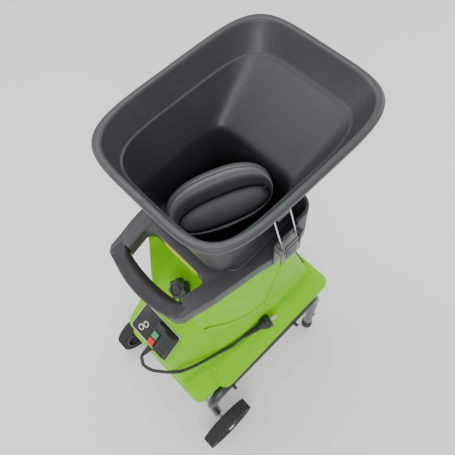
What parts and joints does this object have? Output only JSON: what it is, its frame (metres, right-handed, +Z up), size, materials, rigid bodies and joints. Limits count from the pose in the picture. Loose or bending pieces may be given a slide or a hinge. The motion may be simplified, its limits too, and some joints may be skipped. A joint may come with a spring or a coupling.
{
  "type": "wood chipper",
  "caption": "Upright garden chipper: deep oval feed hopper with a pusher, hooded plastic tower, latches and a control console on a wheeled tube stand.",
  "frame": {"origin": "on the floor, under the middle of the machine", "axes": "+X the machine's right, +Y its back, +Z up"},
  "size_m": [0.41, 0.5339, 0.985],
  "materials": {
    "green_plastic": "satin moulded",
    "dark_plastic": "satin, fine grain",
    "black_plastic": "matte",
    "frame_paint": "semi-gloss black enamel",
    "steel": "bare",
    "tyre_rubber": "matte",
    "foot_rubber": "matte",
    "cord_rubber": "satin",
    "yellow_strip": "blank film",
    "pale_print": "satin",
    "green_button": "gloss",
    "red_button": "gloss",
    "alloy": "cast",
    "brass": "turned",
    "white_plastic": "gloss"
  },
  "bodies": {
    "machine": {"frame_right": "frame_paint", "frame_left": "frame_paint", "rear_cross_tube": "frame_paint", "wheel_axle": "steel", "foot_caps": "foot_rubber", "bag_hooks": "frame_paint", "frame_bolts": "steel", "housing": "green_plastic", "rear_panel": "dark_plastic", "top_cover": "dark_plastic", "warning_strip": "yellow_strip", "hopper": "dark_plastic", "cover_screws": "steel", "control_panel": "black_plastic", "panel_border": "pale_print", "switch_box": "black_plastic", "panel_marks": "pale_print", "cord_gland": "cord_rubber", "power_cord": "cord_rubber", "plug_body": "cord_rubber", "plug_pins": "steel", "latch_brackets": "black_plastic", "feed_funnel": "black_plastic", "cutting_chamber": "steel", "unit_rails": "steel", "discharge_chute": "black_plastic", "drum_bearings": "steel", "gearbox_case": "alloy", "gearbox_cover": "alloy", "motor_casing": "alloy", "start_capacitor": "white_plastic", "screw_bush": "brass", "axle_caps": "steel"},
    "wheel_right": {"tyre_right": "tyre_rubber", "wheel_right": "black_plastic"},
    "wheel_left": {"tyre_left": "tyre_rubber", "wheel_left": "black_plastic"},
    "start_button": {"start_button": "green_button"},
    "stop_button": {"stop_button": "red_button"},
    "knob": {"adjusting_knob": "black_plastic", "adjusting_screw": "steel"},
    "plate": {"pressure_plate": "steel"},
    "drum": {"cutting_drum": "steel", "drum_shaft": "steel", "drum_gear": "steel"},
    "idler": {"idler_shaft": "steel", "idler_gear": "steel", "idler_pinion": "steel"},
    "rotor": {"motor_rotor": "steel", "motor_pinion": "steel", "motor_fan": "black_plastic"},
    "lever_right": {"latch_lever_right": "black_plastic"},
    "bail_right": {"latch_bail_right": "steel"},
    "lever_left": {"latch_lever_left": "black_plastic"},
    "bail_left": {"latch_bail_left": "steel"},
    "pusher": {"pusher_handle": "dark_plastic", "pusher_grip": "black_plastic", "pusher_stem": "dark_plastic"}
  },
  "joints": [
    {"name": "wheel_right_spin", "type": "hinge", "parent": "machine", "child": "wheel_right", "pos_m": [0.1885, -0.192, 0.075], "axis": [1, 0, 0], "continuous": true},
    {"name": "wheel_left_spin", "type": "hinge", "parent": "machine", "child": "wheel_left", "pos_m": [-0.1885, -0.192, 0.075], "axis": [1, 0, 0], "continuous": true},
    {"name": "start_press", "type": "slide", "parent": "machine", "child": "start_button", "axis": [0, 0.6018, -0.7986], "range_m": [0, 0.003], "stiffness_N_per_m": 300},
    {"name": "stop_press", "type": "slide", "parent": "machine", "child": "stop_button", "axis": [0, 0.6018, -0.7986], "range_m": [0, 0.003], "stiffness_N_per_m": 300},
    {"name": "knob_turn", "type": "hinge", "parent": "machine", "child": "knob", "pos_m": [0, 0.04, 0.44], "axis": [0, -0.6018, 0.7986], "range_deg": [0, 1440]},
    {"name": "plate_slide", "type": "slide", "parent": "machine", "child": "plate", "axis": [0, -0.6018, 0.7986], "range_m": [0, 0.008]},
    {"name": "drum_spin", "type": "hinge", "parent": "machine", "child": "drum", "pos_m": [0, 0.04, 0.44], "axis": [1, 0, 0], "continuous": true},
    {"name": "idler_spin", "type": "hinge", "parent": "machine", "child": "idler", "pos_m": [0, 0.10786, 0.42281], "axis": [1, 0, 0], "continuous": true},
    {"name": "motor_spin", "type": "hinge", "parent": "machine", "child": "rotor", "pos_m": [0, 0.144, 0.396], "axis": [1, 0, 0], "continuous": true},
    {"name": "latch_right_swing", "type": "hinge", "parent": "machine", "child": "lever_right", "pos_m": [0.134, 0.054, 0.812], "axis": [0, -1, 0], "range_deg": [0, 120]},
    {"name": "bail_right_swing", "type": "hinge", "parent": "lever_right", "child": "bail_right", "pos_m": [0.134, 0.054, 0.796], "axis": [0, -1, 0], "range_deg": [-120, 0]},
    {"name": "latch_left_swing", "type": "hinge", "parent": "machine", "child": "lever_left", "pos_m": [-0.134, 0.054, 0.812], "axis": [0, 1, 0], "range_deg": [0, 120]},
    {"name": "bail_left_swing", "type": "hinge", "parent": "lever_left", "child": "bail_left", "pos_m": [-0.134, 0.054, 0.796], "axis": [0, 1, 0], "range_deg": [-120, 0]},
    {"name": "pusher_lift", "type": "slide", "parent": "machine", "child": "pusher", "axis": [0, 0, 1], "range_m": [0, 0.3]}
  ],
  "couplings": [
    {"joint": "knob_turn", "follows": "plate_slide", "rad_per_m": 3141.6},
    {"joint": "idler_spin", "follows": "drum_spin", "ratio": -3},
    {"joint": "motor_spin", "follows": "drum_spin", "ratio": 12},
    {"joint": "bail_right_swing", "follows": "latch_right_swing", "ratio": -1},
    {"joint": "bail_left_swing", "follows": "latch_left_swing", "ratio": -1}
  ]
}
